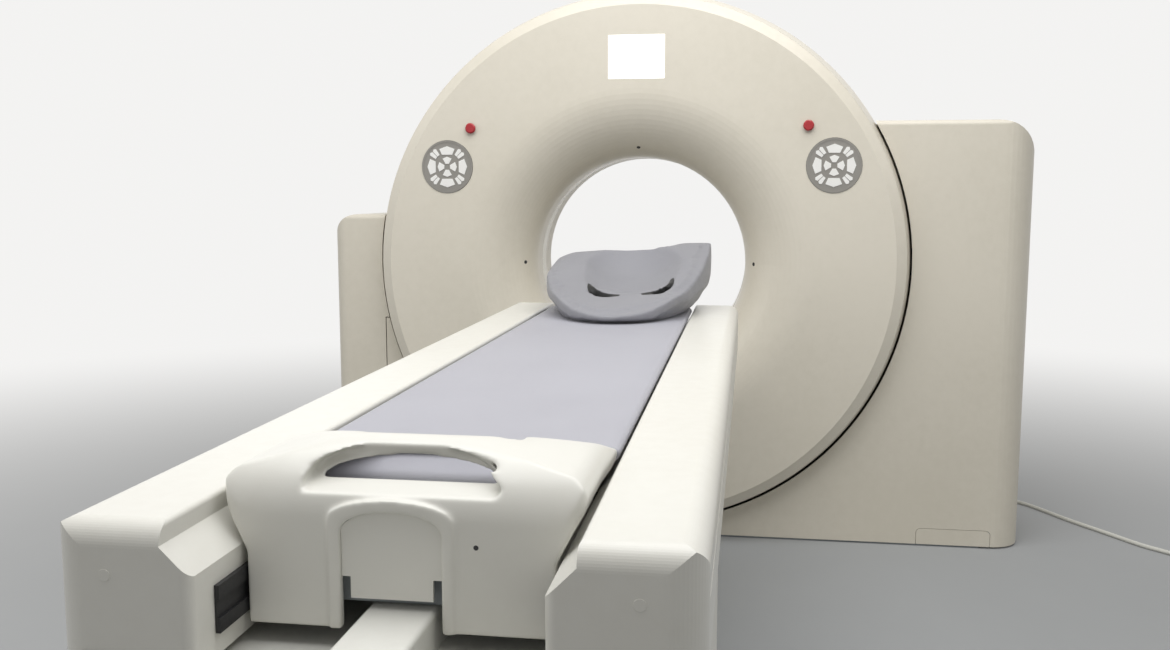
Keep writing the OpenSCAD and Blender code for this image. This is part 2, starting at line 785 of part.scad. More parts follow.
module arm_cover() {
  difference() {
    arm_form(0);
    arm_form(arm_wall);
    box([beam_x[0] - 8, -foot_y + 24, arm_bottom - 1],
      [beam_x[1] + 8, -head_y - 24, arm_bottom + arm_wall + 1]);
    box([arm_out - 2.5, -foot_y + 48, table_h - 62], [arm_out + 1, -head_y - 14, table_h - 55]);
  }
}

module arm_cover_right() {
  color(TABLE) arm_cover();
}

module arm_cover_left() {
  color(TABLE) mirror([1, 0, 0]) arm_cover();
}

module centre_rail() {
  y0 = -foot_y - rail_out;
  y1 = -roller_y - 130;
  color(TABLE) difference() {
    intersection() {
      along_y(y0, y1)
        polygon(round_rect(-rail_half, deck_z, rail_half, deck_z + rail_h, [0, 0, 6, 6]));
      linear_extrude(table_h) polygon(round_rect(-rail_half, y0, rail_half, y1, [12, 12, 0, 0]));
    }
    box([-rail_half + 4, y0 + 8, deck_z - 1], [rail_half - 4, y1 + 1, deck_z + rail_h - 4]);
  }
}

module slide_rails() {
  color(DARK) for (side = [0, 1]) mirror([side, 0, 0]) difference() {
    box([arm_in - 5.6, -foot_y + 48, under_z - 52], [arm_in - seat, -head_y - 20, under_z]);
    box([arm_in - 7, -foot_y + 47, under_z - 36], [arm_in - 2.6, -head_y - 19, under_z - 16]);
  }
}

// Outline from above of what lies on the carriage: full width, and narrower under the end cover
module top_plan(half, y0, y1, r) {
  polygon(round_rect(-tuck_half, y0, tuck_half, y1 - 100, [4, 4, 0, 0]));
  polygon(round_rect(-half, -end_face + end_len + 2, half, y1, [4, 4, r, r]));
}

module tabletop() {
  color([0.32, 0.33, 0.35]) intersection() {
    along_y(-top_foot, -top_foot + top_len) polygon([
      [-skirt_half + 46, under_z], [skirt_half - 46, under_z],
      [skirt_half - 6, top_z - 27], [top_half, top_z - 4],
      [top_half, top_z], [-top_half, top_z], [-top_half, top_z - 4], [-skirt_half + 6, top_z - 27]
    ]);
    linear_extrude(table_h) top_plan(top_half, -top_foot, -top_foot + top_len, 70);
  }
}

module mattress() {
  y0 = -top_foot + 2;
  y1 = -top_foot + top_len - 15;
  color(PAD) intersection() {
    along_y(y0, y1)
      polygon(round_rect(-pad_half, top_z + seat, pad_half, top_z + pad_t, [12, 12, 6, 6]));
    linear_extrude(table_h + 50) top_plan(pad_half, y0, y1, 60);
  }
}

// The end cover's outline from the front as X and Z: a low skirt, a lip over the arms and a crowned top
function end_front(i) = let (
  w = skirt_half - i, v = lip_half - i, low = arm_bottom + 12, n = i > 0 ? 5 : 12
) concat(
  [[-w, low], [w, low], [w, table_h - 62], [w + 4, table_h - 52],
    [w + 18, table_h - 25], [v - 3, table_h - 8]],
  [for (k = [0:n]) [v - 26 + 26 * cos(75 * k / n), table_h + 5 + (26 - i) * sin(75 * k / n)]],
  [for (k = [1:15]) let (x = 1 - k / 8) [176 * x, table_h + 55 - 24 * x * x - i]],
  [for (k = [n:-1:0]) [-v + 26 - 26 * cos(75 * k / n), table_h + 5 + (26 - i) * sin(75 * k / n)]],
  [[-v + 3, table_h - 8], [-w - 18, table_h - 25], [-w - 4, table_h - 52], [-w, table_h - 62]]
);
// The same from the side as Y and Z: an upright face, a soft shoulder and a slope down to the mattress
function end_side(i) = let (y0 = -end_face, y1 = y0 + end_len, n = i > 0 ? 8 : 20) concat(
  [[y1 + (i > 0 ? 1 : 0), arm_bottom + 12 - i], [y1 + (i > 0 ? 1 : 0), table_h + 8 - i]],
  [for (k = [5:-1:1]) let (t = k / 6) [y1 - (end_len - 90) * (1 - t), table_h + 52 - 44 * pow(t, 1.3) - i]],
  [for (k = [0:n]) [y0 + 90 - (90 - i) * sin(90 * k / n), table_h - 20 + (72 - i) * cos(90 * k / n)]],
  [[y0 + i, arm_bottom + 12 - i]]
);

module end_form(i) {
  n = i > 0 ? 4 : 12;
  intersection() {
    along_y(-end_face - 1, -end_face + end_len + 1) polygon(end_front(i));
    along_x(-lip_half - 1, lip_half + 1) polygon(end_side(i));
    translate([0, 0, arm_bottom]) linear_extrude(arm_h + 60)
      polygon(round_rect(-lip_half - 0.01 + i, -end_face + i,
      lip_half + 0.01 - i, -end_face + end_len + (i > 0 ? 1 : 0), [26, 26, 0, 0], n));
  }
}

// The pocket of the hand hold, grown by g: a wedge seen from the side, within an outline seen from the front
hold_x = 5;
function pocket_side(g) = let (y = -end_face, z = table_h) [
  [y - 12, z + 0.7 - g], [y + 40 + g / 2, z + 15 - g], [y + 67 + g, z + 37 - g / 3],
  [y + 60 + g, z + 50], [y + 30, z + 90], [y - 12, z + 90]
];
function pocket_front(g) = let (z = table_h + 14, w = hold_half + 14 + g) concat(
  quarter(hold_x - w + 12 + g, z, 12 + g, 180), quarter(hold_x + w - 12 - g, z, 12 + g, 270),
  [for (k = [0:16]) [hold_x + w * cos(180 * k / 16), z + (36 + g) * sin(180 * k / 16)]]
);
module pocket(g) {
  intersection() {
    along_x(-lip_half, lip_half) polygon(pocket_side(g));
    along_y(-end_face - 12, -end_face + 100) polygon(pocket_front(g));
  }
}

// The lens-shaped hole in the pocket's back
module hold_lens() {
  translate([hold_x + 10, -end_face + 40, table_h + 15]) rotate([atan2(22, 27), 0, 0]) translate([0, 0, -9])
    linear_extrude(30) polygon(concat(
      [[-hold_half, 1.5], [hold_half, 1.5]],
      [for (k = [0:16]) [hold_half * cos(180 * k / 16), 4 + (hold_d - 5) * sin(180 * k / 16)]]
    ));
}

// An arch round the centre rail, drawn as X and Z
notch_x = -8;
notch_half = 56;
rim_w = 14;
module arch(half, low, high) {
  polygon(concat(
    [[notch_x - half, low], [notch_x + half, low]],
    [for (k = [0:16]) [notch_x + half * cos(180 * k / 16), high - 22 + 22 * sin(180 * k / 16)]]
  ));
}

module end_cover() {
  y = -end_face;
  low = arm_bottom + 12;
  color(TABLE) difference() {
    union() {
      difference() {
        union() {
          end_form(0);
          along_y(y - 4, y + 12) arch(notch_half + rim_w, low, table_h + 3);
        }
        difference() {
          end_form(end_wall);
          along_y(y - 4, y + 9) arch(notch_half + rim_w, low, table_h + 3);
        }
        pocket(0);
      }
      difference() {
        intersection() {
          pocket(4);
          end_form(0);
        }
        pocket(0);
      }
    }
    hold_lens();
    translate([hold_x + 10, 0, table_h]) linear_extrude(80)
      polygon(round_rect(-hold_half, y + 112, hold_half, y + 196, [16, 16, 30, 30]));
    along_y(y - 6, y + 20) arch(notch_half, low - 10, table_h - 11);
  }
}

module rail_shield() {
  y = -end_face;
  low = deck_z + rail_h + 12;
  color(TABLE) difference() {
    along_y(y + 1.5, y + 6) arch(notch_half - seat, low, table_h - 11 - seat);
    for (x = [notch_x - notch_half - 1, notch_x + notch_half - 10])
      box([x, y, low - 1], [x + 11, y + 10, low + 24]);
  }
}

module carriage_frame() {
  y0 = -end_face + 20;
  half = skirt_half - 18;
  color([0.4, 0.42, 0.45]) union() {
    difference() {
      box([-half, y0, under_z - 40], [half, y0 + carriage_len, under_z]);
      box([-half + 30, y0 + 30, under_z - 41], [half - 30, y0 + carriage_len - 30, under_z - 6]);
    }
    box([-skirt_half + end_wall + seat, y0 + 10, under_z - 30],
      [skirt_half - end_wall - seat, y0 + 60, under_z - 12]);
    for (x = [-arm_in + 2.6 + fit, half - 1], y = [y0 + end_len, y0 + carriage_len - 46])
      box([x, y, under_z - 36 + fit], [x + arm_in - 2.6 - fit - half + 1, y + 46, under_z - 16 - fit]);
  }
}

// Outline of the headrest from above, inset by i: a straight rear edge and a half-oval front edge
head_at = [20, -600];
function head_plan(i) = concat(
  [for (k = [0:24]) [(240 - i) * cos(180 + 180 * k / 24), -120 + (420 - i) * sin(180 + 180 * k / 24)]],
  [[240 - i, 0], [-240 + i, 0]]
);
// Its outline from the side, from the thin lip up to the rear edge
function head_side() = let (z = table_h) concat(
  [[-541, z + 2 + seat], [0, z + 2 + seat]],
  [for (k = [12:-1:0]) let (s = 45 * k) [s - 540, z + 30 + 0.21 * s + 0.00013 * s * s]],
  [[-541, z + 30]]
);
// Its outline from the front, with the flared wings
function head_front() = let (z = table_h) [
  [-206, z], [206, z], [214, z + 20], [232, z + 54], [243, z + 88], [241, z + 183],
  [150, z + 176], [100, z + 167],
  [60, z + 158], [-65, z + 156], [-204, z + 144], [-228, z + 114],
  [-240, z + 77], [-232, z + 44], [-216, z + 14]
];
// One of the two crescent slots along the front of the bowl
bowl_at = [28, -250];
function crescent(a0, a1) = let (n = 14) concat(
  [for (k = [0:n]) let (a = a0 + (a1 - a0) * k / n) [112 * cos(a), 152 * sin(a)]],
  [for (k = [n - 1:-1:1]) let (a = a0 + (a1 - a0) * k / n, w = 1 + 0.14 * sin(180 * k / n))
    [112 * w * cos(a), 152 * w * sin(a)]]
);

module headrest() {
  color([0.66, 0.66, 0.68]) translate([head_at[0], head_at[1], 0]) difference() {
    intersection() {
      union() {
        translate([0, 0, table_h + 12]) linear_extrude(200) polygon(head_plan(0));
        translate([0, 0, table_h]) linear_extrude(14) polygon(head_plan(34));
      }
      along_x(-250, 250) polygon(head_side());
      along_y(-545, 1) polygon(head_front());
    }
    translate([bowl_at[0], bowl_at[1], table_h + 260]) rotate([13, 0, 0]) union() {
      rotate([90, 0, 0]) cylinder(h = 80, r = 200, center = true);
      for (y = [-40, 40]) translate([0, y, 0]) sphere(200);
    }
    translate([bowl_at[0], bowl_at[1], table_h + 40]) linear_extrude(100) {
      polygon(crescent(200, 264));
      polygon(crescent(292, 358));
    }
  }
}

// The stationary ring that carries the rotor, with its side arms and shafts
module tilt_frame() {
  ring_out = slice(inner_r, ring_y + ring_t) - seat;
  arm_at = slice(inner_r, ring_y + ring_t) - 30;
  color([0.5, 0.53, 0.56]) union() {
    difference() {
      ring(race_out, ring_out, ring_y, ring_y + ring_t);
      for (a = [22.5:45:337.5]) about_axis() rotate([0, 0, a])
        translate([700, 0, ring_y - 1]) cylinder(h = ring_t + 2, r = 14);
      for (a = [45:90:315]) about_axis() rotate([0, 0, a + 22.5])
        translate([590, 0, ring_y - 1]) cylinder(h = ring_t + 2, r = 60);
      motor_axis() cylinder(h = 400, r = 15);
    }
    for (side = [0, 1]) mirror([side, 0, 0]) {
      box([rotor_r + 20, -62, iso_h - 80], [inner_r - 26, ring_y + 1, iso_h + 80]);
      bar_x(inner_r - 27, stand_x + stand_t + 22, 0, iso_h, shaft_r);
    }
    for (a = [30:60:330]) about_axis() rotate([0, 0, a]) {
      translate([rotor_r + 14, 0, -disc_front + cover_wall + seat])
        cylinder(h = disc_front - cover_wall - seat + ring_y + 1, r = 6, $fn = 24);
      translate([rotor_r + 10, 0, ring_y + ring_t - 1])
        cylinder(h = disc_rear - cover_wall - seat - ring_y - ring_t + 1, r = 6, $fn = 24);
    }
  }
}

// Carries a shape to the drive motor's axis, low on the right
module motor_axis() {
  about_axis() rotate([0, 0, 45]) translate([motor_at, 0, 0]) children();
}

module drive_motor() {
  color([0.35, 0.38, 0.42]) motor_axis() difference() {
    union() {
      translate([0, 0, ring_y + ring_t]) cylinder(h = 12, r = 62);
      translate([0, 0, ring_y + ring_t + 11]) cylinder(h = 95, r = 52);
    }
    translate([0, 0, ring_y + ring_t - 1]) cylinder(h = 16, r = 12 + shaft_fit);
  }
}

module motor_pulley() {
  color([0.3, 0.3, 0.32]) motor_axis() union() {
    translate([0, 0, sheave_y + 2]) cylinder(h = 24, r = pulley_r);
    translate([0, 0, sheave_y + 3]) cylinder(h = ring_y + ring_t + 10 - sheave_y - 3, r = 12);
  }
}

// The loop round the sheave and the motor pulley
module belt_outline(grow) {
  hull() {
    circle(r = sheave_r + grow, $fn = 120);
    rotate([0, 0, 45]) translate([motor_at, 0]) circle(r = pulley_r + grow, $fn = 48);
  }
}

module drive_belt() {
  color(DARK) about_axis() translate([0, 0, sheave_y + 4]) linear_extrude(20) difference() {
    belt_outline(eps + 4);
    belt_outline(eps);
  }
}

module rotor_drum() {
  color([0.55, 0.58, 0.62]) difference() {
    union() {
      ring(hub_r, rotor_r, rotor_y, rotor_y + rotor_t);
      ring(hub_r, hub_r + 15, rotor_y, ring_y + ring_t + 20);
      ring(sheave_r - 22, sheave_r, sheave_y - 1, sheave_y + 28);
      for (a = [50, 130]) about_axis() rotate([0, 0, a]) translate([rotor_r - 90, -60, rotor_y - 60])
        cube([60, 120, 62]);
    }
    for (a = [0:15:345]) about_axis() rotate([0, 0, a + 7.5])
      translate([rotor_r - 20, 0, rotor_y - 1]) cylinder(h = rotor_t + 2, r = 8, $fn = 24);
  }
}

// A race groove: the ring of space that the balls roll in
module groove() {
  about_axis() translate([0, 0, ring_y + ring_t / 2]) rotate_extrude($fn = 180)
    translate([pitch_r, 0]) circle(r = ball_r + fit, $fn = 48);
}

module bearing_inner_race() {
  color(STEEL) difference() {
    ring(race_in, race_in + race_t, ring_y, ring_y + ring_t);
    groove();
  }
}

module bearing_outer_race() {
  color(STEEL) difference() {
    ring(race_out - race_t, race_out, ring_y, ring_y + ring_t);
    groove();
  }
}

module bearing_balls() {
  color([0.75, 0.76, 0.78]) for (k = [0:ball_n - 1]) about_axis() rotate([0, 0, 360 * k / ball_n])
    translate([pitch_r, 0, ring_y + ring_t / 2]) sphere(ball_r, $fn = 32);
}

slip_y = ring_y + ring_t + 5;
module slip_ring() {
  color([0.72, 0.52, 0.3]) union() {
    ring(hub_r + 15, hub_r + 135, slip_y, slip_y + 12);
    for (k = [0:4]) ring(hub_r + 36 + 20 * k, hub_r + 45 + 20 * k, slip_y + 11, slip_y + 15);
  }
}

module brush_block() {
  color(DARK) about_axis() rotate([0, 0, -60]) union() {
    translate([hub_r + 32, -45, slip_y + 15 + eps]) cube([118, 90, 34]);
    translate([hub_r + 138, -45, ring_y + ring_t]) cube([40, 90, 54]);
  }
}

module xray_tube() {
  z = iso_h + focus_r + 40;
  color([0.5, 0.52, 0.5]) translate([0, rotor_y, z]) rotate([90, 0, 0]) union() {
    cylinder(h = 205, r = 95);
    translate([0, 0, 205]) cylinder(h = 22, r1 = 95, r2 = 62);
    translate([0, 0, 226]) cylinder(h = 14, r = 30);
    for (s = [-1, 1]) translate([s * 104, 30, 30]) cylinder(h = 60, r = 22);
    for (s = [-1, 1]) translate([s > 0 ? 80 : -106, 12, 40]) cube([26, 36, 40]);
  }
}

module collimator() {
  z1 = iso_h + focus_r - 56;
  color([0.25, 0.26, 0.28]) difference() {
    box([-80, -70, z1 - 92], [80, rotor_y, z1]);
    box([-62, -22, z1 - 93], [62, 22, z1 + 1]);
  }
}

module hv_generator() {
  color([0.55, 0.56, 0.52]) union() {
    box([-rotor_r + 32, -130, iso_h - 120], [-hub_r - 50, rotor_y, iso_h + 120]);
    for (z = [-90:30:90]) box([-rotor_r + 60, -142, iso_h + z - 3], [-hub_r - 80, -129, iso_h + z + 3]);
  }
}

module tube_cooler() {
  x = (hub_r + 60 + rotor_r - 45) / 2;
  color([0.45, 0.47, 0.5]) difference() {
    box([hub_r + 60, -120, iso_h - 140], [rotor_r - 45, rotor_y, iso_h + 140]);
    for (z = [-70, 70]) translate([x, -121, iso_h + z]) rotate([-90, 0, 0]) difference() {
      cylinder(h = 40, r = 58);
      translate([0, 0, -1]) cylinder(h = 42, r = 18);
      for (a = [0:60:300]) rotate([0, 0, a]) translate([10, -3, 6]) cube([50, 6, 36]);
    }
  }
}

// Carries a shape to the focal spot, drawn about Z with Z along +Y
module about_focus() {
  translate([0, 0, iso_h + focus_r]) rotate([-90, 0, 0]) children();
}

module detector_array() {
  step = 2 * fan_angle / module_n;
  color([0.3, 0.32, 0.34]) about_focus() union() {
    translate([0, 0, -30]) linear_extrude(30 + rotor_y) polygon(concat(
      [for (i = [0:module_n]) let (a = 90 - fan_angle + i * step) (detector_d + 24) * [cos(a), sin(a)]],
      [for (i = [module_n:-1:0]) let (a = 90 - fan_angle + i * step) (detector_d + 54) * [cos(a), sin(a)]]
    ));
    for (k = [0:module_n - 1]) rotate([0, 0, 90 - fan_angle + (k + 0.5) * step]) {
      translate([detector_d, -detector_d * sin(step / 2) + 1, -36])
        cube([27, 2 * detector_d * sin(step / 2) - 2, 62]);
      translate([detector_d + 49, -3, -24]) cube([70, 6, 60]);
    }
  }
}

base_frame();
trunnion_bearings();
tilt_gearmotor();
front_cover_right();
front_cover_left();
rear_cover_right();
rear_cover_left();
service_hatch();
cable_gland();
floor_cable();
cable_coil();
cable_plug();
table_base();
lift_column_outer();
pedestal_cover_lower();
lift_column_mid();
pedestal_cover_mid();
lift_column_inner();
pedestal_cover_upper();
table_frame();
deck_plate();
arm_cover_left();
arm_cover_right();
centre_rail();
slide_rails();
carriage_motor();
drive_roller();
tabletop();
mattress();
end_cover();
rail_shield();
carriage_frame();
headrest();
tilt_frame();
front_disc_cover();
rear_disc_cover();
rim_cover_left();
rim_cover_right();
scan_window();
gantry_display();
control_panels();
panel_keys();
laser_modules();
bearing_outer_race();
brush_block();
drive_motor();
drive_belt();
motor_pulley();
rotor_drum();
bearing_inner_race();
bearing_balls();
slip_ring();
xray_tube();
collimator();
hv_generator();
tube_cooler();
detector_array();
estop_left();
estop_right();
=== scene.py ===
# %% [markdown]
# A CT scanner has a tall housing with a round tunnel, and a long table that carries the patient into it.
# The hard parts come from the CAD model, which this script loads as a fixed frame.
# Blender adds what CAD is bad at: padding, soft moulded forms, surface finishes, the loose cable and small trim.

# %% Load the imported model
import bpy
import json
import math
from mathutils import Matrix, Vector


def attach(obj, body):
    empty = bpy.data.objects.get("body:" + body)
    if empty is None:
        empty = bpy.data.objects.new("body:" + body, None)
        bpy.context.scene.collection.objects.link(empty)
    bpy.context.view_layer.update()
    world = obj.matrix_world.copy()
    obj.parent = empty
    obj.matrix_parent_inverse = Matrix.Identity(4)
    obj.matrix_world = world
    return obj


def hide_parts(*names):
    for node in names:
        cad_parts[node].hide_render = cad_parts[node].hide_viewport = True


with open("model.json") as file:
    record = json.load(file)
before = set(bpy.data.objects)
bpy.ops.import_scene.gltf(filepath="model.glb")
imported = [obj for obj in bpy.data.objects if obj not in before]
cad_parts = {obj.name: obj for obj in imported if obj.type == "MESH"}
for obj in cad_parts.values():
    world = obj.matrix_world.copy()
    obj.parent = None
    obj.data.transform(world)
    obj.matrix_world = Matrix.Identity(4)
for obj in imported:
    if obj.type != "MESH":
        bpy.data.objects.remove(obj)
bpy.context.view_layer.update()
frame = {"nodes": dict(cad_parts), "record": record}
nodes = frame["nodes"]


def add_object(name, data):
    """A new object for the data, linked into the scene."""
    obj = bpy.data.objects.new(name, data)
    bpy.context.scene.collection.objects.link(obj)
    return obj


# %% [markdown]
# The camera comes first, because every later choice is judged through it.
# Its place and turn were solved from straight edges in the photograph: the fixed cover, the table's long sides
# and the housing's circle.
# A 34 mm lens close to the table gives the strong narrowing of the tabletop towards the tunnel.

# %% Place the camera
CAMERA_AT = (0.3673, -3.7894, 1.1485)
YAW, PITCH = 8.60, 6.936  # degrees
LENS_MM = 33.67
lens_data = bpy.data.cameras.new("view")
lens_data.lens = LENS_MM
lens_data.sensor_width = 36
lens_data.sensor_fit = "HORIZONTAL"
lens_data.clip_start = 0.05
camera = add_object("view", lens_data)
camera.location = CAMERA_AT
camera.rotation_euler = (math.radians(90 - PITCH), 0, math.radians(YAW))
bpy.context.scene.camera = camera

# %% [markdown]
# A hospital room is lit by large ceiling panels, so upright faces near the foot of the table fall into shade
# while the tops glow.
# One big soft panel over the middle of the table gives that, a weak one lifts the left side, and an even sky
# fills the shade.
# The backdrop is what the camera and reflections see of the sky. Its pale colour lights nothing.

# %% Light the room
bpy.context.scene.view_settings.view_transform = "Standard"
BACKDROP = (0.90, 0.895, 0.885, 1)
SKY_COLOUR, SKY_STRENGTH = (1.0, 0.985, 0.96, 1), 0.41
SEEN_BY = ("Is Camera Ray", "Is Glossy Ray", "Is Transmission Ray")


def soft_panel(name, place, aim, width, height, power):
    """A rectangular lamp that faces the point aim."""
    data = bpy.data.lights.new(name, "AREA")
    data.shape = "RECTANGLE"
    data.size, data.size_y, data.energy = width, height, power
    lamp = add_object(name, data)
    lamp.location = place
    lamp.rotation_euler = (Vector(aim) - Vector(place)).to_track_quat("-Z", "Y").to_euler()


soft_panel("ceiling_panel", (0.3, -1.85, 3.1), (0.1, -1.25, 0.6), 3.2, 2.6, 82)
soft_panel("side_panel", (-3.2, -2.6, 2.2), (0.3, -0.6, 0.8), 2.0, 1.8, 20)

world = bpy.data.worlds.new("room")
bpy.context.scene.world = world
world.use_nodes = True
sky = world.node_tree
sky.nodes.clear()
sky_out = sky.nodes.new("ShaderNodeOutputWorld")
sky_mix = sky.nodes.new("ShaderNodeMixShader")
sky_seen = sky.nodes.new("ShaderNodeBackground")
sky_seen.inputs["Color"].default_value = BACKDROP
sky_lights = sky.nodes.new("ShaderNodeBackground")
sky_lights.inputs["Color"].default_value = SKY_COLOUR
sky_lights.inputs["Strength"].default_value = SKY_STRENGTH
sky_ray = sky.nodes.new("ShaderNodeLightPath")
seen_so_far = sky_ray.outputs[SEEN_BY[0]]
for kind in SEEN_BY[1:]:
    either = sky.nodes.new("ShaderNodeMath")
    either.operation = "MAXIMUM"
    sky.links.new(seen_so_far, either.inputs[0])
    sky.links.new(sky_ray.outputs[kind], either.inputs[1])
    seen_so_far = either.outputs[0]
sky.links.new(seen_so_far, sky_mix.inputs["Fac"])
sky.links.new(sky_lights.outputs[0], sky_mix.inputs[1])
sky.links.new(sky_seen.outputs[0], sky_mix.inputs[2])
sky.links.new(sky_mix.outputs[0], sky_out.inputs["Surface"])

# %% [markdown]
# Each finish is a small program of shader nodes.
# Writing the sums as Python expressions keeps them readable, so one class wraps a socket and turns +, - and *
# into Math nodes.
# A second class holds one material and makes every other node through a single method.

# %% Shader helpers
def rgb(red, green, blue):
    """A colour as a photograph shows it, 0 to 255, turned into the linear values that a shader wants."""
    linear = [((c / 255 + 0.055) / 1.055) ** 2.4 if c > 10 else c / 3294 for c in (red, green, blue)]
    return (*linear, 1.0)


class Signal:
    """A shader socket that adds, multiplies and blends like a number."""

    def __init__(self, finish, socket):
        self.finish, self.socket = finish, socket

    def _math(self, operation, *values):
        return self.finish.node("ShaderNodeMath", {"operation": operation}, dict(enumerate(values)))

    def __add__(self, other):
        return self._math("ADD", self, other)

    def __radd__(self, other):
        return self._math("ADD", other, self)

    def __sub__(self, other):
        return self._math("SUBTRACT", self, other)

    def __rsub__(self, other):
        return self._math("SUBTRACT", other, self)

    def __mul__(self, other):
        return self._math("MULTIPLY", self, other)

    def __rmul__(self, other):
        return self._math("MULTIPLY", other, self)

    def __pow__(self, other):
        return self._math("POWER", self, other)

    def low(self, other):
        return self._math("MINIMUM", self, other)

    def high(self, other):
        return self._math("MAXIMUM", self, other)

    def size(self):
        return self._math("ABSOLUTE", self)

    def band(self, start, end):
        """0 below start, 1 above end, smooth between."""
        return self.finish.node("ShaderNodeMapRange", {"interpolation_type": "SMOOTHSTEP"},
                                {"Value": self, "From Min": start, "From Max": end})


class Finish:
    """One procedural material: a Principled shader and the nodes that feed it."""

    def __init__(self, name, **sockets):
        self.material = bpy.data.materials.new(name)
        self.material.use_nodes = True
        self.tree = self.material.node_tree
        self.tree.nodes.clear()
        self.shader = self.tree.nodes.new("ShaderNodeBsdfPrincipled")
        self.out = self.tree.nodes.new("ShaderNodeOutputMaterial")
        self.tree.links.new(self.shader.outputs[0], self.out.inputs["Surface"])
        for key, value in sockets.items():
            self.set(key.replace("_", " "), value)

    def set(self, socket, value):
        """Gives a socket of the shader a plain value or a link."""
        target = self.shader.inputs[socket]
        if isinstance(value, Signal):
            self.tree.links.new(value.socket, target)
        else:
            target.default_value = value

    def node(self, kind, settings=None, sockets=None, out=0):
        """Makes a node, sets it up, fills or links its sockets and gives back one output."""
        made = self.tree.nodes.new(kind)
        for key, value in (settings or {}).items():
            setattr(made, key, value)
        for key, value in (sockets or {}).items():
            if isinstance(value, Signal):
                self.tree.links.new(value.socket, made.inputs[key])
            else:
                made.inputs[key].default_value = value
        return Signal(self, made.outputs[out])

    def place(self, scale=(1, 1, 1)):
        """Object coordinates, stretched where a pattern runs along one direction."""
        here = self.node("ShaderNodeTexCoord", out="Object")
        return self.node("ShaderNodeMapping", {}, {"Vector": here, "Scale": scale})

    def clouds(self, scale, detail=3.0, rough=0.5, stretch=(1, 1, 1)):
        """Soft noise from 0 to 1."""
        return self.node("ShaderNodeTexNoise", {},
                         {"Vector": self.place(stretch), "Scale": scale, "Detail": detail, "Roughness": rough})

    def blend(self, mask, first, second):
        """The first colour where the mask is 0, the second where it is 1."""
        return self.node("ShaderNodeMix", {"data_type": "RGBA"}, {"Factor": mask, 6: first, 7: second}, out=2)

    def bump(self, height, distance, under=None):
        """Relief of a given depth in metres, on top of another one where under is given."""
        sockets = {"Height": height, "Distance": distance, "Strength": 1.0}
        if under is not None:
            sockets["Normal"] = under
        return self.node("ShaderNodeBump", {}, sockets)


# %% [markdown]
# The covers are moulded shells with a satin two-part paint.
# Up close such paint has a fine orange-peel skin, a very slow drift of tone, and faint rubbed patches.
# The shade of the paint hardly changes, so the roughness and a tiny bump do most of the work.

# %% Painted covers
ORANGE_PEEL, WAVE = 0.00006, 0.0012


def cover_paint(name, tone, shade, roughness):
    paint = Finish(name, Specular_IOR_Level=0.42, Coat_Weight=0.12, Coat_Roughness=0.3)
    drift = paint.clouds(1.6, 2.0)
    dust = paint.clouds(38.0, 4.0, 0.6)
    paint.set("Base Color", paint.blend((drift * 0.7 + dust * 0.3).band(0.35, 0.75), tone, shade))
    paint.set("Roughness", roughness + 0.1 * (dust - 0.5) + 0.08 * (drift - 0.5))
    skin = paint.bump(paint.clouds(520.0, 2.0), ORANGE_PEEL)
    paint.set("Normal", paint.bump(drift, WAVE, under=skin))
    return paint


fixed_cover = cover_paint("fixed_cover_paint", rgb(219, 213, 199), rgb(211, 205, 190), 0.42)
disc_cover = cover_paint("disc_cover_paint", rgb(222, 216, 202), rgb(214, 208, 193), 0.38)
table_cover = cover_paint("table_cover_paint", rgb(223, 222, 215), rgb(217, 215, 207), 0.34)
deck_paint = cover_paint("deck_paint", rgb(220, 220, 214), rgb(210, 209, 202), 0.4)
pedestal_paint = cover_paint("pedestal_paint", rgb(222, 221, 214), rgb(212, 210, 202), 0.44)

# %% [markdown]
# The mattress and the headrest have a coated fabric skin over foam.
# The coating shows a fine leather-like grain, darkened in its hollows as painted shade, and a soft sheen at low
# angles.
# Object coordinates drive the grain, so it stays in place when the table moves.

# %% Coated fabric
CREASE_DEPTH, SAG_DEPTH = 0.00012, 0.0012


def coated_fabric(name, tone, crease_shade_and_mottle, grain, roughness):
    """The finish also keeps its colour as tone, so that a mask can be laid over it later."""
    skin = Finish(name, Specular_IOR_Level=0.35, Sheen_Weight=0.18, Sheen_Roughness=0.4)
    cells = skin.node("ShaderNodeTexVoronoi", {"feature": "DISTANCE_TO_EDGE"},
                      {"Vector": skin.place(), "Scale": grain}, out="Distance")
    creases = cells.band(0.0, 0.12)
    slow = skin.clouds(6.0, 3.0)
    # The darker colour is painted shade in the grain's creases and a random mottle in slow patches.
    skin.tone = skin.blend((creases * 0.35 + slow * 0.65).band(0.2, 0.8), crease_shade_and_mottle, tone)
    skin.set("Base Color", skin.tone)
    skin.set("Roughness", roughness + 0.12 * (slow - 0.5) - 0.06 * creases)
    fine = skin.bump(creases, CREASE_DEPTH)
    skin.set("Normal", skin.bump(skin.clouds(14.0, 3.0), SAG_DEPTH, under=fine))
    return skin


mattress_skin = coated_fabric("mattress_skin", rgb(172, 172, 180), rgb(163, 163, 172), 420, 0.5)
headrest_skin = coated_fabric("headrest_skin", rgb(144, 144, 149), rgb(135, 135, 141), 520, 0.55)

# %% [markdown]
# Small plastic trim needs its own surfaces: keypad foil, printed keys, the lit display, dark rails and the red
# stop buttons.
# Moulded plastic is dyed through, so a fine grain in the roughness is what shows its age.

# %% Plastics and rubber
def moulded_plastic(name, tone, shade, roughness, grain=260.0, depth=0.00008, **sockets):
    plastic = Finish(name, **sockets)
    speckle = plastic.clouds(grain, 3.0, 0.6)
    slow = plastic.clouds(9.0)
    plastic.set("Base Color", plastic.blend((slow * 0.6 + speckle * 0.4).band(0.3, 0.8), tone, shade))
    plastic.set("Roughness", roughness + 0.16 * (slow - 0.5) + 0.08 * (speckle - 0.5))
    plastic.set("Normal", plastic.bump(speckle, depth))
    return plastic


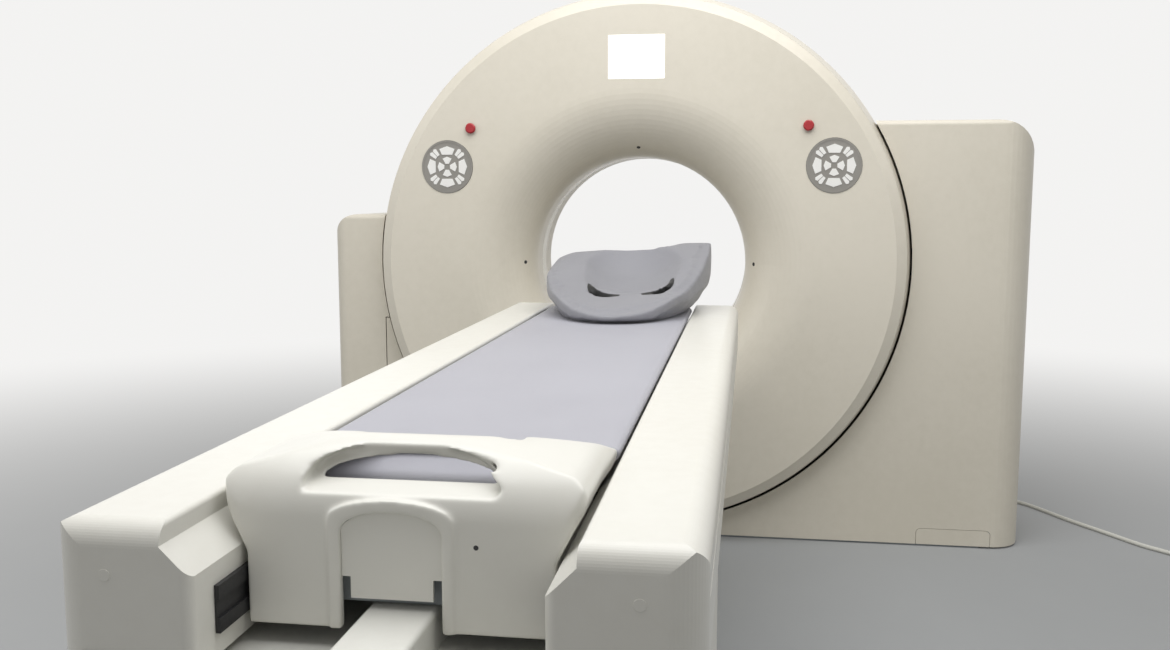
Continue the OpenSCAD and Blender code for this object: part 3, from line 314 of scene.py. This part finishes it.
scan_film = moulded_plastic("scan_film", rgb(232, 228, 214), rgb(224, 219, 204), 0.25, Specular_IOR_Level=0.6)
keypad_foil = moulded_plastic("keypad_foil", rgb(147, 144, 138), rgb(138, 135, 129), 0.5)
key_print = moulded_plastic("key_print", rgb(243, 242, 239), rgb(236, 235, 231), 0.45)
stop_red = moulded_plastic("stop_red", rgb(176, 44, 50), rgb(158, 34, 42), 0.3, Specular_IOR_Level=0.55)
rail_black = moulded_plastic("rail_black", rgb(40, 40, 42), rgb(28, 28, 30), 0.5)
belt_rubber = moulded_plastic("belt_rubber", rgb(44, 44, 46), rgb(32, 32, 34), 0.75, 90.0, 0.0003)
cable_sheath = moulded_plastic("cable_sheath", rgb(216, 216, 208), rgb(200, 199, 190), 0.5, 120.0)
laminate = moulded_plastic("laminate", rgb(84, 87, 92), rgb(66, 69, 74), 0.35, 300.0)

display_glow = Finish("display_glow", Specular_IOR_Level=0.5, Roughness=0.18)
panel_clouds = display_glow.clouds(3.0)
display_glow.set("Base Color", display_glow.blend(panel_clouds, rgb(244, 247, 250), rgb(250, 250, 251)))
display_glow.set("Emission Color", display_glow.blend(panel_clouds, rgb(244, 248, 252), rgb(250, 251, 252)))
display_glow.set("Emission Strength", 0.9)

# %% [markdown]
# Hidden machinery still shows through gaps and in other views, so its metals are honest too.
# Machine paint is lumpy and a little glossy, ground steel has fine parallel scratches, and castings are dark
# and coarse.

# %% Metals and machine paint
def machine_paint(name, tone, shade, roughness=0.5):
    paint = Finish(name, Specular_IOR_Level=0.45)
    lumps = paint.clouds(60.0, 4.0, 0.6)
    grime = paint.clouds(4.0, 4.0)
    paint.set("Base Color", paint.blend(grime.band(0.35, 0.75), tone, shade))
    paint.set("Roughness", roughness + 0.2 * (grime - 0.5))
    paint.set("Normal", paint.bump(lumps, 0.0004))
    return paint


def ground_metal(name, tone, shade, roughness, stretch):
    metal = Finish(name, Metallic=1.0)
    scratches = metal.clouds(90.0, 4.0, 0.65, stretch)
    metal.set("Base Color", metal.blend(scratches, tone, shade))
    metal.set("Roughness", roughness + 0.2 * (scratches - 0.5))
    metal.set("Normal", metal.bump(scratches, 0.00015))
    return metal


frame_paint = machine_paint("frame_paint", rgb(150, 156, 160), rgb(132, 138, 143))
motor_paint = machine_paint("motor_paint", rgb(92, 98, 108), rgb(76, 81, 90))
floor_paint = machine_paint("floor_paint", rgb(208, 208, 201), rgb(186, 186, 179), 0.55)
ground_steel = ground_metal("ground_steel", rgb(196, 198, 202), rgb(168, 170, 175), 0.32, (1, 12, 1))
dark_casting = machine_paint("dark_casting", rgb(84, 87, 92), rgb(64, 67, 72), 0.6)
slip_metal = ground_metal("slip_metal", rgb(214, 160, 112), rgb(186, 132, 88), 0.28, (1, 20, 1))

# %% [markdown]
# The CAD record names a material slot for every node, and each slot has one finish.

# %% Hand each node its finish
finishes = {
    "fixed_cover": fixed_cover, "disc_cover": disc_cover, "scan_window": scan_film, "display": display_glow,
    "panel": keypad_foil, "keys": key_print, "stop_button": stop_red, "table_cover": table_cover,
    "deck": deck_paint, "pedestal_cover": pedestal_paint, "mattress": mattress_skin, "headrest": headrest_skin,
    "tabletop": laminate, "cable": cable_sheath, "floor_plate": floor_paint, "painted_frame": frame_paint,
    "steel": ground_steel, "motor": motor_paint, "black_plastic": rail_black, "rubber": belt_rubber,
    "dark_metal": dark_casting, "slip_metal": slip_metal,
}
for part in frame["record"]["subparts"]:
    mesh = nodes[part["node"]].data
    mesh.materials.clear()
    mesh.materials.append(finishes[part["material_slot"]].material)

# %% [markdown]
# The floor is a plain grey sheet that catches the shadow and the light bounce.
# Far away it fades into the colour of the backdrop, for the camera and for reflections only, so no hard
# horizon is left.

# %% Lay the floor
FADE_FROM, FADE_START, FADE_END = (0.3, -1.2, 0), 0.6, 6.5
BLACK = (0, 0, 0, 1)


def alone():
    """Leaves edit mode and deselects everything, so that an operator touches only what comes next."""
    if bpy.context.object and bpy.context.object.mode != "OBJECT":
        bpy.ops.object.mode_set(mode="OBJECT")
    bpy.ops.object.select_all(action="DESELECT")


def pick(*objs):
    """Selects these objects and nothing else, and makes the first one active."""
    alone()
    for obj in objs:
        obj.select_set(True)
    bpy.context.view_layer.objects.active = objs[0]


alone()
bpy.ops.mesh.primitive_plane_add(size=60, location=(0, 0, -0.0005))
floor = bpy.context.object
floor.name = "floor"
bpy.ops.object.transform_apply(location=True, rotation=True, scale=True)
vinyl = Finish("floor_vinyl", Roughness=0.9, Specular_IOR_Level=0.0, Emission_Strength=1.0)
seen = vinyl.node("ShaderNodeLightPath", out=SEEN_BY[0])
for kind in SEEN_BY[1:]:
    seen = seen.high(vinyl.node("ShaderNodeLightPath", out=kind))
reach = vinyl.node("ShaderNodeVectorMath", {"operation": "DISTANCE"}, {0: vinyl.place(), 1: FADE_FROM}, out="Value")
fade = seen * reach.band(FADE_START, FADE_END)
grey = vinyl.blend(vinyl.clouds(2.0), rgb(156, 158, 159), rgb(161, 163, 164))
vinyl.set("Base Color", vinyl.blend(fade, grey, BLACK))
vinyl.set("Emission Color", vinyl.blend(fade, BLACK, BACKDROP))
floor.data.materials.append(vinyl.material)


# %% [markdown]
# Every finished piece is handed over in the same way, so one helper does it.

# %% Helpers for finished pieces
def finish_piece(obj, name, finish, body, slot, *stands_for):
    """Bakes the place into the mesh, hands over the finish and rides the piece on its body."""
    pick(obj)
    bpy.ops.object.transform_apply(location=True, rotation=True, scale=True)
    obj.name = obj.data.name = name
    obj.data.materials.clear()
    obj.data.materials.append(finish.material)
    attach(obj, body)
    if stands_for:
        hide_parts(*stands_for)
    print(name, len(obj.data.polygons) if obj.type == "MESH" else "curve")
    return obj


def apply_all(obj):
    """Turns all modifiers of a mesh into plain geometry."""
    pick(obj)
    for step in list(obj.modifiers):
        bpy.ops.object.modifier_apply(modifier=step.name)


def joined(*parts):
    """Joins the parts into the first one."""
    pick(*parts)
    bpy.ops.object.join()
    return parts[0]


# %% [markdown]
# Padding and soft moulded forms start from the CAD solid, because it already stands in the right place.
# A voxel remesh turns its few large faces into an even skin, which can then be smoothed or blown up.
# The foam under a coated fabric pushes outward everywhere, so a cloth run with a little pressure gives the soft edge.
# Each form starts 2 or 3 mm smaller, and the cloth may push no point further than 3 or 5 mm.

# %% Helpers for soft forms
FOAM_FRAMES = 20


def skin_of(node, voxel, shrink=0.0, first=None, filler=None):
    """An even skin over a copy of a CAD solid, which first may reshape and filler may fill out."""
    obj = add_object(node + "_skin", nodes[node].data.copy())
    pick(obj)
    bpy.ops.object.mode_set(mode="EDIT")
    bpy.ops.mesh.select_all(action="SELECT")
    bpy.ops.mesh.remove_doubles(threshold=0.00001)
    bpy.ops.object.mode_set(mode="OBJECT")
    if first:
        reshape(obj, first)
    if filler:
        joined(obj, filler)
    remesh = obj.modifiers.new("even_skin", "REMESH")
    remesh.mode, remesh.voxel_size = "VOXEL", voxel
    apply_all(obj)
    if shrink:
        bpy.ops.object.mode_set(mode="EDIT")
        bpy.ops.mesh.select_all(action="SELECT")
        bpy.ops.transform.shrink_fatten(value=-shrink)
        bpy.ops.object.mode_set(mode="OBJECT")
    return obj


def smooth(value, start, end):
    """0 below start, 1 above end, and an even ramp between."""
    share = min(1.0, max(0.0, (value - start) / (end - start)))
    return share * share * (3 - 2 * share)


def reshape(obj, move):
    """Runs every point of a mesh through move, which takes and gives x, y and z."""
    for vertex in obj.data.vertices:
        vertex.co = move(*vertex.co)


def relax(obj, factor, rounds, share=None):
    """Evens out a skin; share says from 0 to 1 how far it reaches at a point."""
    even = obj.modifiers.new("relax", "SMOOTH")
    even.factor, even.iterations = factor, rounds
    if share:
        group = obj.vertex_groups.new(name="reach")
        for vertex in obj.data.vertices:
            weight = share(*vertex.co)
            if weight > 0:
                group.add([vertex.index], weight, "REPLACE")
        even.vertex_group = group.name
    apply_all(obj)


def blow_up(obj, pressure, cap):
    """Foam that pushes its fabric outward: a short cloth run, with every move held within cap."""
    rest = [v.co.copy() for v in obj.data.vertices]
    pick(obj)
    cloth = obj.modifiers.new("foam", "CLOTH")
    cloth.settings.use_pressure = True
    cloth.settings.uniform_pressure_force = pressure
    cloth.settings.effector_weights.gravity = 0
    cloth.settings.quality = 4
    cloth.point_cache.frame_start, cloth.point_cache.frame_end = 1, FOAM_FRAMES
    scene = bpy.context.scene
    for count in range(1, FOAM_FRAMES + 1):
        scene.frame_set(count)
    apply_all(obj)
    scene.frame_set(1)
    for vertex, start in zip(obj.data.vertices, rest):
        move = vertex.co - start
        if move.length > cap:
            vertex.co = start + move * (cap / move.length)


def shade_soft(obj):
    pick(obj)
    bpy.ops.object.shade_smooth()


def fine_skin(obj):
    """Splits every face in four and smooths the shading."""
    refine = obj.modifiers.new("fine_skin", "SUBSURF")
    refine.levels = refine.render_levels = 1
    apply_all(obj)
    shade_soft(obj)


# %% [markdown]
# The mattress is a thin foam pad in one long piece of coated fabric.
# It is nearly flat, with soft long edges and a rounded end at the tunnel.

# %% Make the mattress
PAD_WIDER = 1.016
PAD_VOXEL, PAD_SHRINK, PAD_PRESSURE, PAD_CAP = 0.0095, 0.002, 3.0, 0.003


def fill_gap(x, y, z):
    """Takes back the width that the smoothing costs, so only a thin line is left beside the arms."""
    return x * PAD_WIDER, y, z


pad = skin_of("mattress", PAD_VOXEL, PAD_SHRINK)
relax(pad, 0.5, 4)
reshape(pad, fill_gap)
blow_up(pad, PAD_PRESSURE, PAD_CAP)
fine_skin(pad)
finish_piece(pad, "mattress_pad", mattress_skin, "carriage", "mattress", "mattress")

# %% [markdown]
# The headrest is a firmer foam wedge, high at the rear and drawn in towards the foot end, with a bowl for the head.
# Two crescent slots run along the front of the bowl, and the shade inside them is painted near-black.
# A mask in the shader follows the same curve as the cut: an ellipse inside, a slightly larger one outside.

# %% Painted shade in the slots
BOWL_AT, BOWL_HALF = (0.048, -0.850), (0.112, 0.152)
SLOTS = [(200, 264), (292, 358)]  # degrees round the bowl
SLOT_WIDTH = 0.16


def slot_shade_mask(skin):
    """Where the painted shade lies: 1 inside the crescents seen from above, 0 elsewhere."""
    here = skin.node("ShaderNodeSeparateXYZ", {}, {"Vector": skin.place()}).socket.node.outputs
    across = (Signal(skin, here["X"]) - BOWL_AT[0]) * (1 / BOWL_HALF[0])
    along = (Signal(skin, here["Y"]) - BOWL_AT[1]) * (1 / BOWL_HALF[1])
    radius = (across * across + along * along) ** 0.5
    angle = skin.node("ShaderNodeMath", {"operation": "ARCTAN2"}, {0: along, 1: across})
    mask = 0
    for start, end in SLOTS:
        middle, half = math.radians((start + end) / 2 - 360), math.radians((end - start) / 2)
        aside = ((angle - middle).size() * (1 / half)).low(1.0)
        width = SLOT_WIDTH * skin.node("ShaderNodeMath", {"operation": "COSINE"}, {0: aside * (math.pi / 2)})
        inside = radius.band(0.95, 0.97) * (1.0 - (radius - width).band(1.015, 1.03))
        mask = (inside * (1.0 - aside.band(0.97, 1.0))).high(mask)
    return mask


# The slots get near-black painted shade over the headrest's colour.
headrest_skin.set("Base Color", headrest_skin.blend(slot_shade_mask(headrest_skin), headrest_skin.tone, rgb(5, 5, 6)))

# %% [markdown]
# Its outline was measured again in the photograph: the sides taper sooner than in the CAD block, the rear corners
# stand a little higher, and the underside lifts off the mattress at the sides.

# %% Make the headrest
HEAD_X, HEAD_REAR = 0.020, -0.600
HEAD_VOXEL, HEAD_SHRINK, HEAD_PRESSURE, HEAD_CAP = 0.0065, 0.003, 4.0, 0.005
HEAD_RISE, HEAD_CORNER_RISE, UNDERSIDE_LIFT = 0.006, 0.008, 0.03


def half_plan(ahead, width, straight, depth):
    """Half width of the wedge's outline: straight sides at the rear, then half an ellipse."""
    if ahead < straight:
        return width
    return width * math.sqrt(max(0.03, 1 - ((ahead - straight) / depth) ** 2))


def draw_in(x, y, z):
    """Moves a point of the CAD block to its measured place."""
    ahead, side = HEAD_REAR - y, x - HEAD_X
    cad_half = half_plan(ahead, 0.240, 0.120, 0.425)
    real_half = half_plan(ahead, 0.235, 0.050, 0.495)
    outer = smooth(abs(side) / cad_half, 0.6, 1.0)
    x += (side * (real_half / cad_half - 1) + 0.004) * outer
    rear = (1 - smooth(ahead, 0.1, 0.45)) * smooth(z, 0.85, 0.91)
    z += rear * (HEAD_RISE + HEAD_CORNER_RISE * smooth(x, 0.05, 0.2))
    low_side = (1 - smooth(z, 0.835, 0.90)) * smooth(abs(side) / cad_half, 0.72, 0.98)
    return x, y, z + UNDERSIDE_LIFT * low_side * (1 - smooth(ahead, 0.36, 0.5))


rest_foam = skin_of("headrest", HEAD_VOXEL, HEAD_SHRINK)
relax(rest_foam, 0.5, 16)
reshape(rest_foam, draw_in)
blow_up(rest_foam, HEAD_PRESSURE, HEAD_CAP)
fine_skin(rest_foam)
finish_piece(rest_foam, "head_cushion", headrest_skin, "carriage", "headrest", "headrest")

# %% [markdown]
# The end cover is one moulding with soft shoulders: light rolls over its handle and into the hand hold without
# a hard edge.
# A fine remesh and a few rounds of smoothing turn the CAD edges into the radii that a mould leaves.
# A small ball thickens the corner at the window's right end, where two thin walls meet.

# %% Soften the end cover
HOLD_KNOTS = [(-0.130, -0.130), (-0.106, -0.111), (-0.082, -0.097),
              (0.112, 0.101), (0.116, 0.111), (0.135, 0.135)]  # x in the CAD block, x in the photograph
END_FACE, END_REAR = -2.700, -2.420
END_VOXEL = 0.0019
FILLER_AT, FILLER_R = (0.0975, -2.6385, 0.8500), 0.0072
REAR_DROP, CREST_RISE = 0.008, 0.002
FACES_KEPT = 90000  # counted in quads, so the piece keeps under 200,000 triangles


def shift_hold(x, y, z):
    """Sets the hand hold a little further left than in the CAD block. Its arch top and the rear stay."""
    arch_top = z < 0.8265 and abs(x + 0.008) < 0.05
    if arch_top or y > END_FACE + 0.08 or z < 0.818 or not HOLD_KNOTS[0][0] < x < HOLD_KNOTS[-1][0]:
        return x, y, z
    for (a, a_new), (b, b_new) in zip(HOLD_KNOTS, HOLD_KNOTS[1:]):
        if x <= b:
            return a_new + (b_new - a_new) * (x - a) / (b - a), y, z


def handle_edge(x, y, z):
    """The handle's lower edge and both ends of the window are thin in the CAD block, so they get extra rounds."""
    inside = 1 - smooth(abs(x), 0.120, 0.135)
    return inside * smooth(z, 0.842, 0.850) * (1 - smooth(y, END_FACE + 0.075, END_FACE + 0.095))


def settle_rear(x, y, z):
    """The rear edge lies down to the arms, and the handle gets back what the smoothing took."""
    top = smooth(z, 0.79, 0.815)
    rear = smooth(y, END_FACE + 0.13, END_REAR - 0.02)
    crest = math.exp(-((y - END_FACE - 0.09) / 0.04) ** 2) * smooth(z, 0.85, 0.865)
    return x, y, z - REAR_DROP * rear * top + CREST_RISE * crest


alone()
bpy.ops.mesh.primitive_uv_sphere_add(segments=24, ring_count=12, radius=FILLER_R, location=FILLER_AT)
corner_fill = bpy.context.object
bpy.ops.object.transform_apply(location=True, rotation=True, scale=True)
end_shell = skin_of("end_cover", END_VOXEL, first=shift_hold, filler=corner_fill)
relax(end_shell, 0.5, 20)
relax(end_shell, 0.5, 60, handle_edge)
reshape(end_shell, settle_rear)
thin = end_shell.modifiers.new("thin_out", "DECIMATE")
thin.ratio = min(1.0, FACES_KEPT / len(end_shell.data.polygons))
apply_all(end_shell)
shade_soft(end_shell)
finish_piece(end_shell, "end_shell", table_cover, "carriage", "table_cover", "end_cover")

# %% [markdown]
# The cable leaves a gland at the back of the right cover, drops to the floor and runs out to the right in loose bends.
# It is one smooth line: the points on the floor were measured in the photograph, and the spare length lies in a
# neat coil just outside the view.
# A curve with a round profile is the natural tool, because a cable keeps one thickness along its whole length.

# %% Route the floor cable
CABLE_R, CABLE_PLAY = 0.007, 0.0002
BOOT_START_R, BOOT_END_R = 0.0115, 0.0082
floor_run = [  # millimetres
    (1150, 246, 62), (1150, 268, 62), (1151, 290, 59), (1158, 314, 45), (1172, 342, 24), (1198, 370, 10),
    (1240, 388, 7.5), (1290, 388, 7.5), (1340, 370, 7.5), (1382, 332, 7.5), (1424, 262, 7.5), (1466, 180, 7.5),
    (1510, 103, 7.5), (1555, 32, 7.5), (1600, -42, 7.5), (1642, -110, 7.5), (1682, -155, 7.5), (1722, -199, 7.5),
    (1752, -230, 7.5), (1780, -258, 7.5),
]
floor_run = [Vector(p) / 1000 for p in floor_run]


def smooth_run(points, steps=2):
    """The same rounded line that the CAD tube follows."""
    line = []
    for i in range(len(points) - 1):
        a, b = points[max(i - 1, 0)], points[i]
        c, d = points[i + 1], points[min(i + 2, len(points) - 1)]
        for k in range(steps):
            t = k / steps
            line.append(b + (c - a) * t / 2 + (2 * a - 5 * b + 4 * c - d) * t * t / 2
                        + (3 * b - a - 3 * c + d) * t ** 3 / 2)
    return line + [points[-1]]


# %% [markdown]
# The spare turns lie in two layers. Each turn eases over to its own radius and height, so the line never jumps.

# %% Wind the spare turns
COIL_AT = Vector((1.8545, -0.1835, 0))
COIL_R, COIL_START = 0.104, math.radians(-129)
TURNS = [(0.091, 0.0075), (0.077, 0.0075), (0.0772, 0.0216), (0.0908, 0.0216)]  # radius, height
STEPS, EASE_STEPS = 24, 9


def coil_line():
    line, angle = [], COIL_START
    radius, level = COIL_R, TURNS[0][1]
    for turn_r, turn_z in TURNS:
        for k in range(1, STEPS + 1):
            ease = smooth(k, 0, EASE_STEPS)
            angle += math.tau / STEPS
            out = radius + (turn_r - radius) * ease
            line.append(COIL_AT + Vector((out * math.cos(angle), out * math.sin(angle),
                                          level + (turn_z - level) * ease)))
        radius, level = turn_r, turn_z
    return line


cable_line = smooth_run(floor_run) + coil_line()
length = sum((b - a).length for a, b in zip(cable_line, cable_line[1:]))
print("cable length", round(length, 3), "m over", len(cable_line), "points")


def round_curve(name, points, radius):
    """A line with a round section and closed ends."""
    data = bpy.data.curves.new(name, "CURVE")
    data.dimensions = "3D"
    data.bevel_depth = radius
    data.bevel_resolution = 3
    data.use_fill_caps = True
    spline = data.splines.new("POLY")
    spline.points.add(len(points) - 1)
    for point, place in zip(spline.points, points):
        point.co = (*place, 1)
    return add_object(name, data)


def boot_sleeve(points, start_r, end_r):
    """A tapered rubber sleeve that keeps the cable from kinking where it leaves the housing."""
    sleeve = round_curve("cable_boot", points, 1.0)
    for count, point in enumerate(sleeve.data.splines[0].points):
        point.radius = start_r + (end_r - start_r) * count / (len(points) - 1)
    return sleeve


boot = boot_sleeve(smooth_run(floor_run[:5])[1:7], BOOT_START_R, BOOT_END_R)
boot.data.materials.append(cable_sheath.material)
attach(boot, "base")

cable = round_curve("floor_lead", cable_line, CABLE_R - CABLE_PLAY)
cable.data.materials.append(cable_sheath.material)
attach(cable, "base")
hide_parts("floor_cable", "cable_coil")

# %% [markdown]
# A few small things break the large plain covers: screw plugs at the foot of the arms, a service hole in the end cover
# and two screws on the housing.

# %% Add the small trim
PLUG_X, PLUG_UP, PLUG_R = 0.271, 0.765, 0.0065
HOLE_X, HOLE_UP, HOLE_R = 0.086, 0.775, 0.0028
SCREW_R, CAP_DEPTH, HOLE_DEPTH = 0.006, 0.0012, 0.0006
HOLE_SET_IN = 0.004


def disc(name, place, radius, depth, normal=(0, -1, 0)):
    """A round plug with a softened rim, standing on a face that points along normal."""
    alone()
    turn = Vector(normal).to_track_quat("Z", "Y").to_euler()
    bpy.ops.mesh.primitive_cylinder_add(vertices=40, radius=radius, depth=depth, location=place, rotation=turn)
    obj = bpy.context.object
    rim = obj.modifiers.new("rim", "BEVEL")
    rim.width, rim.segments, rim.limit_method = min(depth, radius) * 0.3, 3, "ANGLE"
    apply_all(obj)
    obj.name = name
    return obj


foot_y = min(v.co.y for v in nodes["arm_cover_left"].data.vertices)
plugs = joined(*[disc("plug", (side * PLUG_X, foot_y, PLUG_UP), PLUG_R, CAP_DEPTH) for side in (-1, 1)])
finish_piece(plugs, "arm_plugs", table_cover, "lift", "table_cover")
cover_y = min(v.co.y for v in nodes["end_cover"].data.vertices)
# A black disc set into the cover stands in as painted shade inside the service hole.
hole = disc("hole", (HOLE_X, cover_y + HOLE_SET_IN, HOLE_UP), HOLE_R, HOLE_DEPTH)
finish_piece(hole, "service_hole", rail_black, "carriage", "black_plastic")
screw = disc("screw", (0.889, -0.2, 0.613), SCREW_R, CAP_DEPTH)
finish_piece(screw, "cover_screw", fixed_cover, "base", "fixed_cover")
screw = disc("screw", (0.480, -0.28, 0.290), SCREW_R, CAP_DEPTH)
finish_piece(screw, "disc_screw", disc_cover, "tilting_gantry", "disc_cover")
